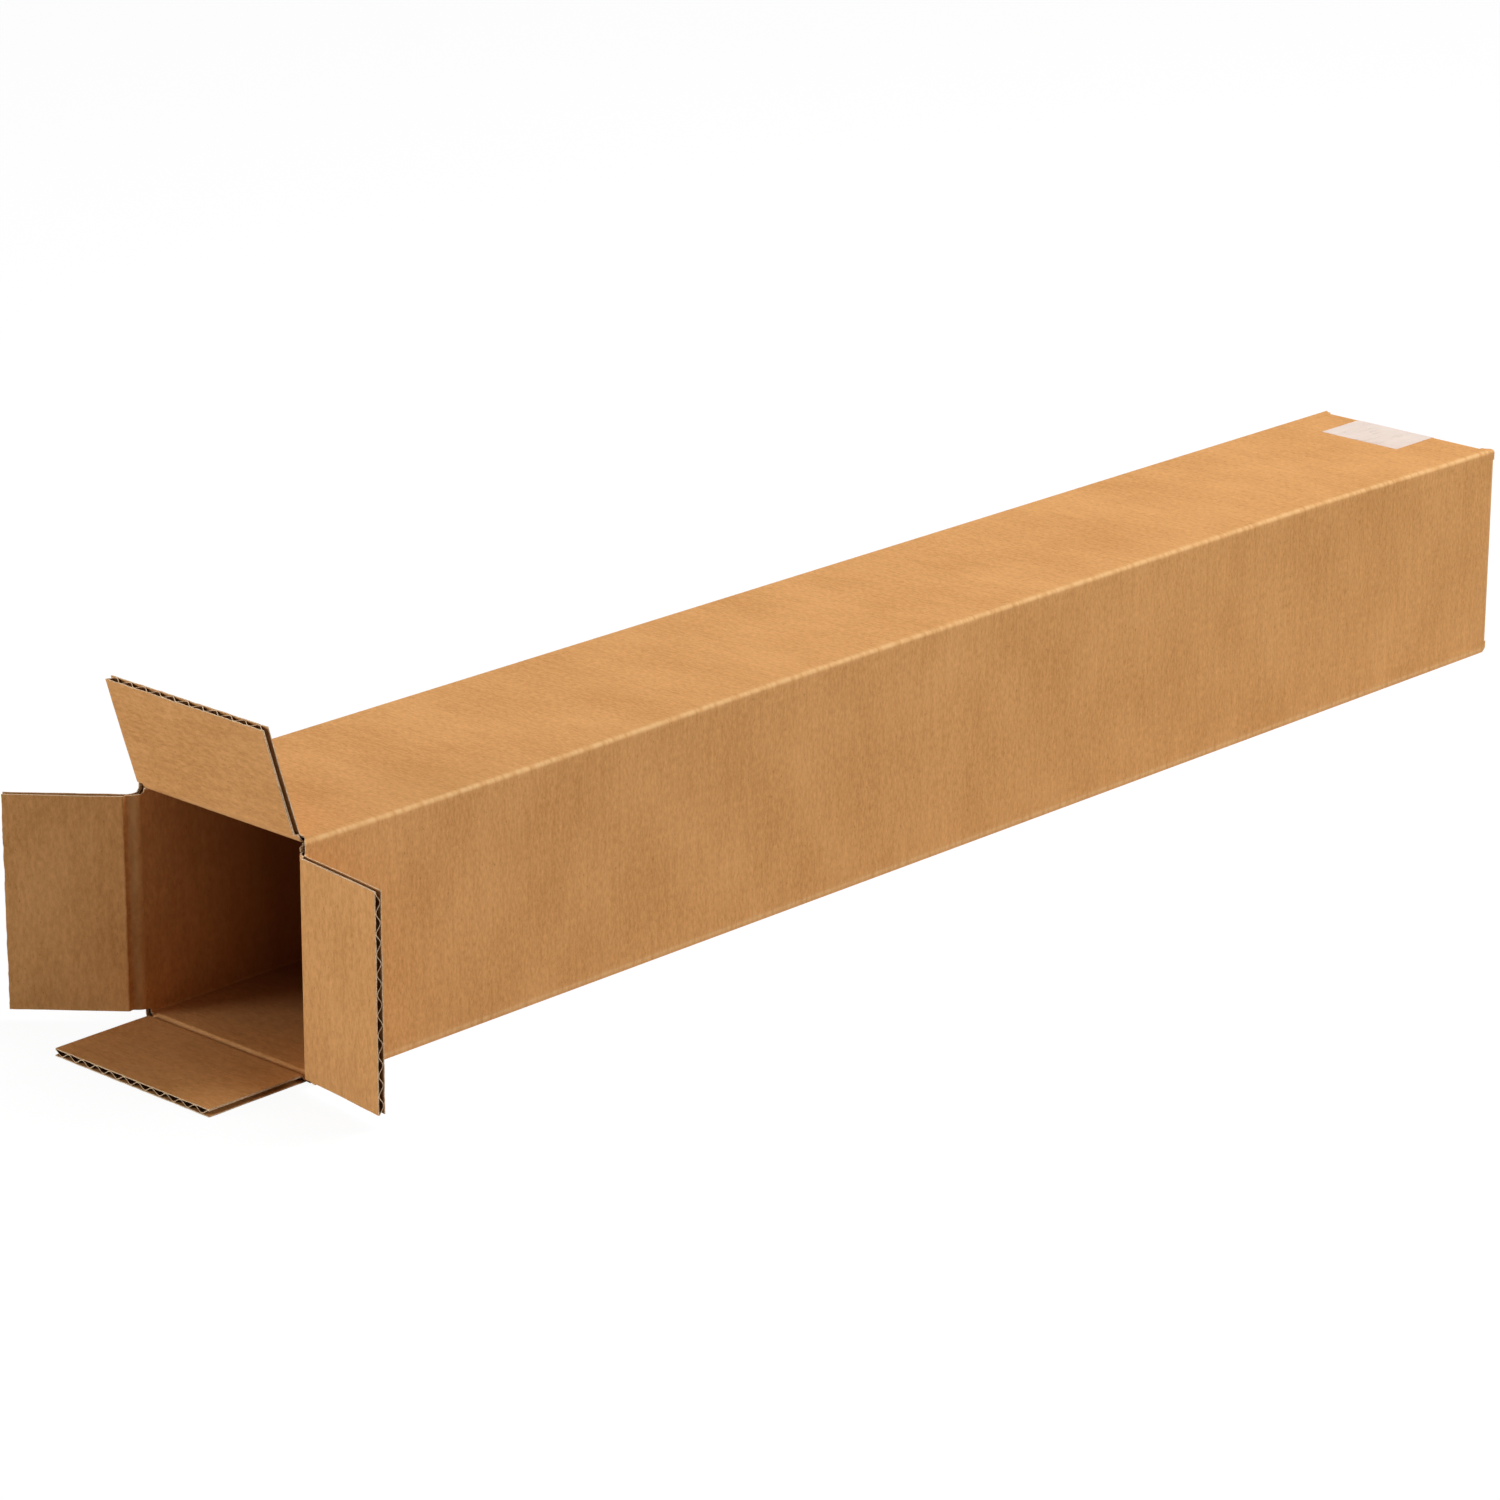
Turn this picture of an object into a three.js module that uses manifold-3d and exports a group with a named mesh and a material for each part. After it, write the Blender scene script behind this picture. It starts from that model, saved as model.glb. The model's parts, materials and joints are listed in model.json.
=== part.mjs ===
// A long shipping box: a square carton of single wall corrugated board, lying on one side.
// It is folded from one sheet with four long panels, a glue tab and a flap on each end of each
// panel. The far end is folded shut and taped. The four flaps at the near end stand open.
//
// Millimetres, +Z up. The origin is the middle of the bottom panel's underside.
// +Y runs along the box towards the taped end, so the open mouth faces -Y.

import * as THREE from "three";
import { mergeVertices } from "three/addons/utils/BufferGeometryUtils.js";
import Module from "manifold-3d";

const wasm = await Module();
wasm.setup();

// The board
const BOARD = 3.6; // caliper of the single wall board
const LINER = 0.4; // each flat facing
const MEDIUM = 0.4; // the fluted sheet between the facings
const FLUTE_PITCH = 8.8; // from crest to crest

// The box
const INSIDE_WIDTH = 102; // clear between the side panels
const INSIDE_HEIGHT = 102; // clear between the bottom and top panels
const INSIDE_LENGTH = 813; // clear between the end flaps, once all are shut
const CORNER_RADIUS = 3.2; // outside of a long crease
const FOLD_RADIUS = 2.4; // outside of a shut end flap's crease

// The end flaps
const FLAP_MEETING_GAP = 0.6; // between two opposite flaps when they are shut
const LAYER_GAP = 0.4; // between the inner and the outer pair of shut flaps
const SLOT_WIDTH = 7.8; // cut between neighbouring flaps
const SLOT_END_RADIUS = 1.2; // at the slot's end, which is as far past the inner crease
const FAR_CORNER_SETBACK = 0.6; // of the corners from the shut end's face
const CREASE_GAP = 0.3; // between a panel's rim and the root of its open flap
const CRUSHED_ROOT = 6.5; // solid stretch of board next to an open flap's crease
const FOLD_OVERLAP = 12; // of a shut flap's strip with the panel that it continues

// The glue tab, inside the right panel
const TAB_HEIGHT = 32;
const TAB_SETBACK = 9; // from the end creases
const TAB_TAPER = 7; // how much shorter each end is at the free edge
const SEAM_GROOVE = 1.6; // along the outside of the glued corner

// The tape over the shut end
const TAPE_WIDTH = 48;
const TAPE_THICKNESS = 0.15;
const TAPE_GLUE = 0.05; // between the tape and the board
const TAPE_REACH = 33; // onto the top panel, and as far onto the bottom panel
const TAPE_OFFSET = -5; // of its middle line from the box's middle plane
const TAPE_DENT_MARGIN = 0.3; // of the pressed-in board round the tape on the underside

// How far each open flap is folded out of its own panel's plane, in degrees
const TOP_FLAP_ANGLE = 72;
const LEFT_FLAP_ANGLE = 49;
const RIGHT_FLAP_ANGLE = 84;
const BOTTOM_FLAP_ANGLE = 0; // lies on whatever the box lies on

// Shape detail
const ARC_STEPS = 5; // facets on a quarter turn
const SLOT_STEPS = 4; // facets on a round corner of a slot's end
const FLUTE_STEPS = 6; // facets on one side of a flute
const FLUTE_CONTACT = 0.12; // share of the pitch where the medium is glued, each side of a crest
const OVERSHOOT = 1; // how far a cutting shape stands past what it cuts

// Worked out from the sizes above
const width = INSIDE_WIDTH + 2 * BOARD;
const height = INSIDE_HEIGHT + 2 * BOARD;
const halfWidth = width / 2;
const innerHalfWidth = INSIDE_WIDTH / 2;
const creaseSpan = INSIDE_LENGTH + 2 * BOARD; // between the inner pair's creases
const nearCrease = -creaseSpan / 2;
const farCrease = creaseSpan / 2;
const pairOffset = BOARD + LAYER_GAP; // the outer pair's creases lie this much further out
const nearOuterCrease = nearCrease - pairOffset;
const farFace = farCrease + pairOffset;
const slotInset = (SLOT_WIDTH + BOARD) / 2; // of a flap's side edges from the box's outside
const topFlapWidth = width - 2 * slotInset;
const sideFlapWidth = height - 2 * slotInset;
const innerFlapDepth = (height - FLAP_MEETING_GAP) / 2;
const outerFlapDepth = (width - FLAP_MEETING_GAP) / 2;
const rimSetback = CREASE_GAP / 2;
const tapeBuildUp = TAPE_THICKNESS + TAPE_GLUE;

const kraft = new THREE.MeshStandardMaterial({ color: 0xc39a68, roughness: 0.85, metalness: 0 });
const kraftFlap = new THREE.MeshStandardMaterial({ color: 0xb98c5a, roughness: 0.9, metalness: 0 });
const clearTape = new THREE.MeshStandardMaterial({ color: 0xecdcc9, roughness: 0.3, metalness: 0 });

// Turns a closed geometry into a solid that can be joined and cut
function toSolid(geometry) {
  geometry.deleteAttribute("normal");
  geometry.deleteAttribute("uv");
  const merged = mergeVertices(geometry, 1e-5);
  const mesh = new wasm.Mesh({
    numProp: 3,
    vertProperties: new Float32Array(merged.attributes.position.array),
    triVerts: new Uint32Array(merged.index.array),
  });
  return new wasm.Manifold(mesh);
}

// Turns a solid back into a geometry
function toGeometry(solid) {
  const mesh = solid.getMesh();
  const geometry = new THREE.BufferGeometry();
  geometry.setAttribute("position", new THREE.BufferAttribute(new Float32Array(mesh.vertProperties), 3));
  geometry.setIndex(new THREE.BufferAttribute(new Uint32Array(mesh.triVerts), 1));
  geometry.computeVertexNormals();
  return geometry;
}

function toPath(points) {
  return points.map(([a, b]) => new THREE.Vector2(a, b));
}

function extrude(points, depth, hole = null) {
  const shape = new THREE.Shape(toPath(points));
  if (hole) shape.holes.push(new THREE.Path(toPath(hole)));
  return new THREE.ExtrudeGeometry(shape, { depth, bevelEnabled: false });
}

// Outline in (y, z), extruded along X
function alongX(points, from, to) {
  const geometry = extrude(points, to - from);
  geometry.rotateX(Math.PI / 2);
  geometry.rotateZ(Math.PI / 2);
  geometry.translate(from, 0, 0);
  return toSolid(geometry);
}

// Outline in (x, z), extruded along Y
function alongY(points, from, to, hole = null) {
  const geometry = extrude(points, to - from, hole);
  geometry.rotateX(Math.PI / 2);
  geometry.translate(0, to, 0);
  return toSolid(geometry);
}

// Outline in (x, y), extruded along Z
function alongZ(points, from, to) {
  const geometry = extrude(points, to - from);
  geometry.translate(0, 0, from);
  return toSolid(geometry);
}

// Points on an arc, from one angle to another in degrees
function arc(a, b, radius, startDegrees, endDegrees, steps = ARC_STEPS) {
  const points = [];
  for (let i = 0; i <= steps; i++) {
    const angle = THREE.MathUtils.degToRad(startDegrees + ((endDegrees - startDegrees) * i) / steps);
    points.push([a + radius * Math.cos(angle), b + radius * Math.sin(angle)]);
  }
  return points;
}

// The bottom half of the box is the top half turned over
function upsideDown(points) {
  return points.map(([y, z]) => [y, height - z]);
}

function mirrored(points) {
  return points.map(([x, y]) => [-x, y]);
}

// Section of the four long panels. Three corners are creased. At the bottom right the bottom
// panel turns up inside the right panel as the glue tab, which leaves a groove on the outside.
function tubeSection() {
  const r = CORNER_RADIUS;
  return [
    ...arc(-halfWidth + r, r, r, 180, 270),
    [innerHalfWidth - SEAM_GROOVE, 0],
    [innerHalfWidth - SEAM_GROOVE * 0.3, SEAM_GROOVE * 0.3],
    [innerHalfWidth, SEAM_GROOVE],
    [innerHalfWidth, 0],
    [halfWidth, 0],
    ...arc(halfWidth - r, height - r, r, 0, 90),
    ...arc(-halfWidth + r, height - r, r, 90, 180),
  ];
}

function tubeHole() {
  return [
    [-innerHalfWidth, BOARD],
    [innerHalfWidth, BOARD],
    [innerHalfWidth, height - BOARD],
    [-innerHalfWidth, height - BOARD],
  ];
}

// What is cut away at the mouth so that the top panel ends in a bevelled crease rim, as (y, z)
function topRimCut() {
  const start = nearOuterCrease - OVERSHOOT;
  const edge = nearCrease + rimSetback;
  return [
    [start, height + OVERSHOOT],
    [edge, height + OVERSHOOT],
    [edge, height],
    [edge + BOARD, height - BOARD],
    [edge + BOARD, height - BOARD - OVERSHOOT],
    [start, height - BOARD - OVERSHOOT],
  ];
}

// The same for the right panel, as (x, y)
function rightRimCut() {
  const start = nearOuterCrease - OVERSHOOT;
  const edge = nearOuterCrease + rimSetback;
  return [
    [halfWidth + OVERSHOOT, start],
    [halfWidth + OVERSHOOT, edge],
    [halfWidth, edge],
    [halfWidth - BOARD, edge + BOARD],
    [halfWidth - BOARD - OVERSHOOT, edge + BOARD],
    [halfWidth - BOARD - OVERSHOOT, start],
  ];
}

// Where the top and bottom panels stop at the shut end, before their flaps' folds, as (y, z)
function topEndCut() {
  const start = farCrease - FOLD_RADIUS;
  const end = farFace + OVERSHOOT;
  const low = height - BOARD - OVERSHOOT;
  return [
    [start, low],
    [end, low],
    [end, height + OVERSHOOT],
    [start, height + OVERSHOOT],
  ];
}

// A slot centred on a corner's crease, as (across, y). Its end has round corners.
function slotOutline(across, nearEnd) {
  const r = SLOT_END_RADIUS;
  const low = across - SLOT_WIDTH / 2;
  const high = across + SLOT_WIDTH / 2;
  if (nearEnd) {
    const open = nearOuterCrease - OVERSHOOT;
    return [
      [high, open],
      ...arc(high - r, nearCrease, r, 0, 90, SLOT_STEPS),
      ...arc(low + r, nearCrease, r, 90, 180, SLOT_STEPS),
      [low, open],
    ];
  }
  const open = farFace + OVERSHOOT;
  const level = farFace - FAR_CORNER_SETBACK + r;
  return [
    [low, Math.max(open, level + OVERSHOOT)],
    ...arc(low + r, level, r, 180, 270, SLOT_STEPS),
    ...arc(high - r, level, r, 270, 360, SLOT_STEPS),
    [high, Math.max(open, level + OVERSHOOT)],
  ];
}

// Cuts the slots at both ends of all four corners
function cutSlots(solid) {
  const swap = (points) => points.map(([across, y]) => [y, across]);
  const sideCrease = halfWidth - BOARD / 2;
  for (const nearEnd of [true, false]) {
    for (const side of [-1, 1]) {
      const flat = slotOutline(side * sideCrease, nearEnd);
      solid = solid.subtract(alongZ(flat, -OVERSHOOT, BOARD));
      solid = solid.subtract(alongZ(flat, height - BOARD, height + OVERSHOOT));
      const inside = side * innerHalfWidth;
      const outside = side * (halfWidth + OVERSHOOT);
      for (const level of [BOARD / 2, height - BOARD / 2]) {
        const upright = swap(slotOutline(level, nearEnd));
        solid = solid.subtract(alongX(upright, Math.min(inside, outside), Math.max(inside, outside)));
      }
    }
  }
  return solid;
}

// The shut top flap with its fold, as (y, z)
function shutTopFlap() {
  const r = FOLD_RADIUS;
  return [
    [farCrease - FOLD_OVERLAP, height],
    ...arc(farCrease - r, height - r, r, 90, 0),
    [farCrease, height - innerFlapDepth],
    [farCrease - BOARD, height - innerFlapDepth],
    [farCrease - BOARD, height - BOARD],
    [farCrease - FOLD_OVERLAP, height - BOARD],
  ];
}

// The shut right flap with its fold, as (x, y)
function shutRightFlap() {
  const r = FOLD_RADIUS;
  return [
    [halfWidth, farCrease - FOLD_OVERLAP],
    ...arc(halfWidth - r, farFace - r, r, 0, 90),
    [halfWidth - outerFlapDepth, farFace],
    [halfWidth - outerFlapDepth, farFace - BOARD],
    [innerHalfWidth, farFace - BOARD],
    [innerHalfWidth, farCrease - FOLD_OVERLAP],
  ];
}

// The glue tab's outline against the right panel, as (y, z)
function glueTab() {
  const root = BOARD / 2;
  const top = BOARD + TAB_HEIGHT;
  const half = farCrease - TAB_SETBACK;
  return [
    [-half, root],
    [half, root],
    [half - TAB_TAPER, top],
    [-half + TAB_TAPER, top],
  ];
}

// The box lies on the tape's lower end, which is pressed into the board, as (y, z)
function tapeDent() {
  const r = FOLD_RADIUS;
  const start = farCrease - TAPE_REACH - TAPE_DENT_MARGIN;
  return [
    [start, -OVERSHOOT],
    [start, tapeBuildUp],
    ...arc(farCrease - r, r + tapeBuildUp, r, 270, 360),
    [farCrease + LAYER_GAP / 2, r + tapeBuildUp],
    [farCrease + LAYER_GAP / 2, -OVERSHOOT],
  ];
}

// The folded sheet, without the four open flaps
function cartonBody() {
  let solid = alongY(tubeSection(), nearOuterCrease, farFace - FOLD_RADIUS, tubeHole());
  for (const cut of [topRimCut(), topEndCut()]) {
    solid = solid.subtract(alongX(cut, -innerHalfWidth, innerHalfWidth));
    solid = solid.subtract(alongX(upsideDown(cut), -innerHalfWidth, innerHalfWidth));
  }
  for (const cut of [rightRimCut(), mirrored(rightRimCut())]) {
    solid = solid.subtract(alongZ(cut, BOARD, height - BOARD));
  }
  solid = cutSlots(solid);
  for (const flap of [shutTopFlap(), upsideDown(shutTopFlap())]) {
    solid = solid.add(alongX(flap, -topFlapWidth / 2, topFlapWidth / 2));
  }
  for (const flap of [shutRightFlap(), mirrored(shutRightFlap())]) {
    solid = solid.add(alongZ(flap, slotInset, height - slotInset));
  }
  solid = solid.add(alongX(glueTab(), innerHalfWidth - BOARD, innerHalfWidth + BOARD / 2));
  const dentHalf = TAPE_WIDTH / 2 + TAPE_DENT_MARGIN;
  solid = solid.subtract(alongX(tapeDent(), TAPE_OFFSET - dentHalf, TAPE_OFFSET + dentHalf));
  return toGeometry(solid);
}

// One face of the tape over the top fold, at some distance off the board, as (y, z).
// It follows the fold, then leaves it in a straight line for the outer flaps' upper edge.
function tapeLineOverTop(distance) {
  const centre = [farCrease - FOLD_RADIUS, height - FOLD_RADIUS];
  const radius = FOLD_RADIUS + distance;
  const edge = [farFace + distance, height - slotInset];
  const away = [edge[0] - centre[0], edge[1] - centre[1]];
  const leave = Math.atan2(away[1], away[0]) + Math.acos(radius / Math.hypot(...away));
  return [
    [farCrease - TAPE_REACH, height + distance],
    ...arc(...centre, radius, 90, THREE.MathUtils.radToDeg(leave)),
    edge,
  ];
}

// The same face under the bottom fold, where the tape's outside is level with the underside
function tapeLineUnderBottom(distance) {
  const line = upsideDown(tapeLineOverTop(distance));
  const edge = line.pop();
  return [...line.map(([y, z]) => [y, z + tapeBuildUp]), edge].reverse();
}

function sealingTape() {
  const outside = [...tapeLineOverTop(tapeBuildUp), ...tapeLineUnderBottom(tapeBuildUp)];
  const inside = [...tapeLineOverTop(TAPE_GLUE), ...tapeLineUnderBottom(TAPE_GLUE)];
  const outline = [...outside, ...inside.reverse()];
  return toGeometry(alongX(outline, TAPE_OFFSET - TAPE_WIDTH / 2, TAPE_OFFSET + TAPE_WIDTH / 2));
}

// One open channel between the fluted sheet and a facing, as (x, z) in a flap's own frame.
// The flap's outside is at z = 0 and its inside at z = -BOARD. Crests touch the outside facing.
function fluteChannel(startX, pitch, crestX, facingZ, side) {
  const amplitude = BOARD / 2 - LINER - MEDIUM / 2;
  const wave = (2 * Math.PI) / pitch;
  const from = startX + FLUTE_CONTACT * pitch;
  const to = startX + (1 - FLUTE_CONTACT) * pitch;
  const points = [[from, facingZ]];
  for (let i = 1; i < FLUTE_STEPS; i++) {
    const x = from + ((to - from) * i) / FLUTE_STEPS;
    const slope = amplitude * wave * Math.sin(wave * (x - crestX));
    const middle = -BOARD / 2 + amplitude * Math.cos(wave * (x - crestX));
    points.push([x, middle + (side * MEDIUM * Math.hypot(1, slope)) / 2]);
  }
  points.push([to, facingZ]);
  return points;
}

// An open flap in its own frame: the crease lies on the X axis, along the outside facing, and
// the flap points to -Y. Its root is bevelled so that it can shut against the panel's rim.
// The flutes run with its depth and show at its far edge.
function openFlap(flapWidth, depth) {
  const profile = [
    [-rimSetback, 0],
    [-depth, 0],
    [-depth, -BOARD],
    [-rimSetback - BOARD, -BOARD],
  ];
  let solid = alongX(profile, -flapWidth / 2, flapWidth / 2);
  const count = Math.max(1, Math.round(flapWidth / FLUTE_PITCH));
  const pitch = flapWidth / count;
  const firstCrest = -flapWidth / 2;
  for (let i = 0; i <= count; i++) {
    const channels = [fluteChannel(firstCrest + (i - 0.5) * pitch, pitch, firstCrest, LINER - BOARD, -1)];
    if (i < count) channels.push(fluteChannel(firstCrest + i * pitch, pitch, firstCrest, -LINER, 1));
    for (const channel of channels) {
      solid = solid.subtract(alongY(channel, -depth - OVERSHOOT, -CRUSHED_ROOT));
    }
  }
  return toGeometry(solid);
}

function named(name, geometry, material) {
  const mesh = new THREE.Mesh(geometry, material);
  mesh.name = name;
  return mesh;
}

// Hangs a flap on its crease. Roll turns the top flap's place round the box to another side.
function hang(name, geometry, pivot, rollDegrees, foldDegrees) {
  const crease = new THREE.Group();
  crease.position.set(...pivot);
  crease.rotation.y = THREE.MathUtils.degToRad(rollDegrees);
  const mesh = named(name, geometry, kraftFlap);
  mesh.rotation.x = -THREE.MathUtils.degToRad(foldDegrees);
  crease.add(mesh);
  return crease;
}

const innerFlap = openFlap(topFlapWidth, innerFlapDepth);
const outerFlap = openFlap(sideFlapWidth, outerFlapDepth);

const box = new THREE.Group();
box.add(named("carton_body", cartonBody(), kraft));
box.add(named("sealing_tape", sealingTape(), clearTape));
box.add(hang("top_flap", innerFlap, [0, nearCrease, height], 0, TOP_FLAP_ANGLE));
box.add(hang("right_flap", outerFlap, [halfWidth, nearOuterCrease, height / 2], 90, RIGHT_FLAP_ANGLE));
box.add(hang("bottom_flap", innerFlap, [0, nearCrease, 0], 180, BOTTOM_FLAP_ANGLE));
box.add(hang("left_flap", outerFlap, [-halfWidth, nearOuterCrease, height / 2], -90, LEFT_FLAP_ANGLE));

export default box;
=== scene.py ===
# A long kraft corrugated box on a white floor: taped shut at the far end, open at the near end.
# Lengths are in millimetres until a mesh is made. +Y runs along the box to the taped end.

import json
import math

import bpy
import numpy as np
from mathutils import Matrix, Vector

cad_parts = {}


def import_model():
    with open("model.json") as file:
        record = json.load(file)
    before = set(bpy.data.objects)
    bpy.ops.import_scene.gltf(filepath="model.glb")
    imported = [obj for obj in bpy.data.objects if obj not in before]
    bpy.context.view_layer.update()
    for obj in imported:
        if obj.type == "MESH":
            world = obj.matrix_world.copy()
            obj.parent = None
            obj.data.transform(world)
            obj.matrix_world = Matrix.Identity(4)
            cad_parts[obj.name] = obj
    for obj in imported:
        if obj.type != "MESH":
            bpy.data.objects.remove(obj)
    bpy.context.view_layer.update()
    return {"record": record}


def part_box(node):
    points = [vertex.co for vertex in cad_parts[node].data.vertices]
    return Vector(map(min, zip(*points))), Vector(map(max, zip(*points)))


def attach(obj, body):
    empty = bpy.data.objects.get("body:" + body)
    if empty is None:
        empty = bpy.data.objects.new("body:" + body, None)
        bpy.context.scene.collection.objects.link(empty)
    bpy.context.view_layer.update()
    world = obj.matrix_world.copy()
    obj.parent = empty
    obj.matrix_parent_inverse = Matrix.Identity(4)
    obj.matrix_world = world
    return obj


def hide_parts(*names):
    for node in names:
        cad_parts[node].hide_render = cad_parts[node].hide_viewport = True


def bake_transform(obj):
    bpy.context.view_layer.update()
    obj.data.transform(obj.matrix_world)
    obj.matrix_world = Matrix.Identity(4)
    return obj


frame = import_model()

MM = 0.001

# Board
BOARD = 3.6
LINER = 0.5
MEDIUM = 0.4
FLUTE_PITCH = 8.8
FLUTE_STEPS = 12  # mesh steps along one flute wave
HIDDEN_FLUTE_STEPS = 8  # the same inside the shut flaps
RIM_GROOVE = 1.6  # how deep the gap between the facings shows at a cut edge
CREASED_BOARD = 1.7  # what is left of the board's thickness in a crease

# Creases and slots
CORNER_RADIUS = 2.2
INNER_CORNER_RADIUS = 0.7
SLOT_WIDTH = 7.8
SLOT_END_RADIUS = 1.2
FAR_CORNER_SETBACK = 0.6
STRIP = 3.0  # how much of each panel's end belongs to its flap's mesh
BEND_REACH = 2.2  # from a crease to where its bend begins
CREASE_SHOULDER = 2.8  # where the inside starts to slope down to the crease, on the panel's side
CREASE_VALLEY = 1.4  # where the inside is lowest, on the flap's side
CREASE_STEP = 0.8  # how soon it is back at full thickness

# Sizes that the frame gives
HINGES = {joint["name"]: joint for joint in frame["record"]["behaviour"]["joints"]}
BODY_HIGH = [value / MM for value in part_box("carton_body")[1]]
TAPE_LOW, TAPE_HIGH = [[value / MM for value in corner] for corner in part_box("sealing_tape")]
HEIGHT = HINGES["top_flap_crease"]["pos_m"][2] / MM
HALF_WIDTH = HINGES["right_flap_crease"]["pos_m"][0] / MM
NEAR_CREASE = HINGES["top_flap_crease"]["pos_m"][1] / MM
NEAR_OUTER_CREASE = HINGES["right_flap_crease"]["pos_m"][1] / MM
PAIR_OFFSET = NEAR_CREASE - NEAR_OUTER_CREASE
FAR_OUTER_CREASE = BODY_HIGH[1]
FAR_CREASE = FAR_OUTER_CREASE - PAIR_OFFSET
SLOT_EDGE = (SLOT_WIDTH + BOARD) / 2  # of a flap's side edge from the box's outside
FLAP_WIDTH = 2 * HALF_WIDTH - 2 * SLOT_EDGE
FLAP_MEETING_GAP = 0.6  # between two opposite flaps when they are shut
FLAP_DEPTH = HALF_WIDTH - FLAP_MEETING_GAP / 2

# Glue tab
TAB_HEIGHT = 32
TAB_BOARD = 3.0
TAB_SETBACK = 9
TAB_TAPER = 7
TAB_FOLD = 1.5  # round the fold between the bottom panel and the tab

# Creases of the mesh
CREASE_ROWS = (5, 8, 12)  # extra rows of points at these distances from a crease
PANEL_COLUMNS = 26
PANEL_ROWS = 112
TAPE_FOLD = 2.2  # round the fold at the top of the shut end
INSIDE_LAYER = 50  # added to the third blank coordinate of the inside facing

def smooth(value):
    value = np.clip(value, 0, 1)
    return value * value * (3 - 2 * value)


class Parts:
    """Collects grids of points and their faces, and makes one mesh of them."""

    def __init__(self):
        self.points = []
        self.blank = []
        self.crease = []
        self.faces = []
        self.kinds = []
        self.count = 0

    def add_points(self, points, blank, crease):
        points = np.asarray(points, float).reshape(-1, 3)
        first = self.count
        self.points.append(points)
        self.blank.append(np.asarray(blank, float).reshape(-1, 3))
        self.crease.append(np.broadcast_to(np.asarray(crease, float), (len(points),)))
        self.count += len(points)
        return first

    def add_faces(self, faces, kind):
        self.faces.extend(faces)
        self.kinds.extend([kind] * len(faces))

    def grid(self, first, rows, columns, kind, flip=False):
        for row in range(rows - 1):
            for column in range(columns - 1):
                a = first + row * columns + column
                face = (a, a + 1, a + 1 + columns, a + columns)
                self.faces.append(face[::-1] if flip else face)
                self.kinds.append(kind)

    def slab(self, front, back, blank, crease, kind, edge_kind):
        """A closed sheet between two grids of points of the same shape."""
        rows, columns = front.shape[:2]
        a = self.add_points(front, blank, crease)
        b = self.add_points(back, blank, crease)
        self.grid(a, rows, columns, kind)
        self.grid(b, rows, columns, kind, flip=True)
        rim = [row * columns + column for row, column in grid_border(rows, columns)]
        for here, there in zip(rim, rim[1:] + rim[:1]):
            self.add_faces([(a + there, a + here, b + here, b + there)], edge_kind)

    def mesh_object(self, name, materials):
        mesh = bpy.data.meshes.new(name)
        points = np.concatenate(self.points) * MM
        mesh.from_pydata(points.tolist(), [], self.faces)
        blank = mesh.attributes.new("blank", "FLOAT_VECTOR", "POINT")
        blank.data.foreach_set("vector", (np.concatenate(self.blank) * MM).ravel().astype(np.float32))
        crease = mesh.attributes.new("crease", "FLOAT", "POINT")
        crease.data.foreach_set("value", np.concatenate(self.crease).astype(np.float32))
        for material in materials:
            mesh.materials.append(material)
        mesh.polygons.foreach_set("material_index", self.kinds)
        mesh.shade_smooth()
        mesh.set_sharp_from_angle(angle=math.radians(38))
        mesh.update()
        obj = bpy.data.objects.new(name, mesh)
        bpy.context.collection.objects.link(obj)
        return obj


def grid_border(rows, columns):
    """(row, column) of a grid's outer points, once round, in the order of its faces."""
    border = [(0, column) for column in range(columns)]
    border += [(row, columns - 1) for row in range(1, rows)]
    border += [(rows - 1, column) for column in range(columns - 2, -1, -1)]
    border += [(row, 0) for row in range(rows - 2, 0, -1)]
    return border


# Node helpers

class Nodes:
    """Short calls for one material's node tree."""

    def __init__(self, name):
        self.material = bpy.data.materials.new(name)
        self.material.use_nodes = True
        self.tree = self.material.node_tree
        self.shader = self.tree.nodes["Principled BSDF"]

    def new(self, kind, inputs=(), **settings):
        node = self.tree.nodes.new(kind)
        for key, value in settings.items():
            setattr(node, key, value)
        for socket, value in dict(inputs).items():
            self.put(value, node.inputs[socket])
        return node

    def put(self, value, socket):
        if isinstance(value, bpy.types.NodeSocket):
            self.tree.links.new(value, socket)
        else:
            socket.default_value = value

    def math(self, operation, a, b=0.0):
        return self.new("ShaderNodeMath", {0: a, 1: b}, operation=operation).outputs[0]

    def scaled(self, vector, scale):
        node = self.new("ShaderNodeVectorMath", {0: vector, 1: scale}, operation="MULTIPLY")
        return node.outputs[0]

    def noise(self, vector, detail, roughness=0.5):
        inputs = {"Vector": vector, "Scale": 1.0, "Detail": detail, "Roughness": roughness}
        return self.new("ShaderNodeTexNoise", inputs).outputs["Fac"]

    def ramp(self, value, low, high, to_low=0.0, to_high=1.0):
        inputs = {0: value, 1: low, 2: high, 3: to_low, 4: to_high}
        return self.new("ShaderNodeMapRange", inputs, clamp=True).outputs[0]

    def mix(self, factor, a, b):
        node = self.new("ShaderNodeMix", data_type="RGBA")
        self.put(factor, node.inputs["Factor"])
        self.put(a, node.inputs["A"])
        self.put(b, node.inputs["B"])
        return node.outputs["Result"]

    def bump(self, height, distance, strength=1.0, normal=None):
        node = self.new("ShaderNodeBump", {"Height": height, "Distance": distance, "Strength": strength})
        if normal is not None:
            self.put(normal, node.inputs["Normal"])
        return node.outputs[0]


def srgb(red, green, blue):
    """A colour given as 0 to 255 numbers, as Blender's linear values."""
    linear = []
    for value in (red, green, blue):
        value /= 255
        linear.append(value / 12.92 if value <= 0.04045 else ((value + 0.055) / 1.055) ** 2.4)
    return (*linear, 1.0)


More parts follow.
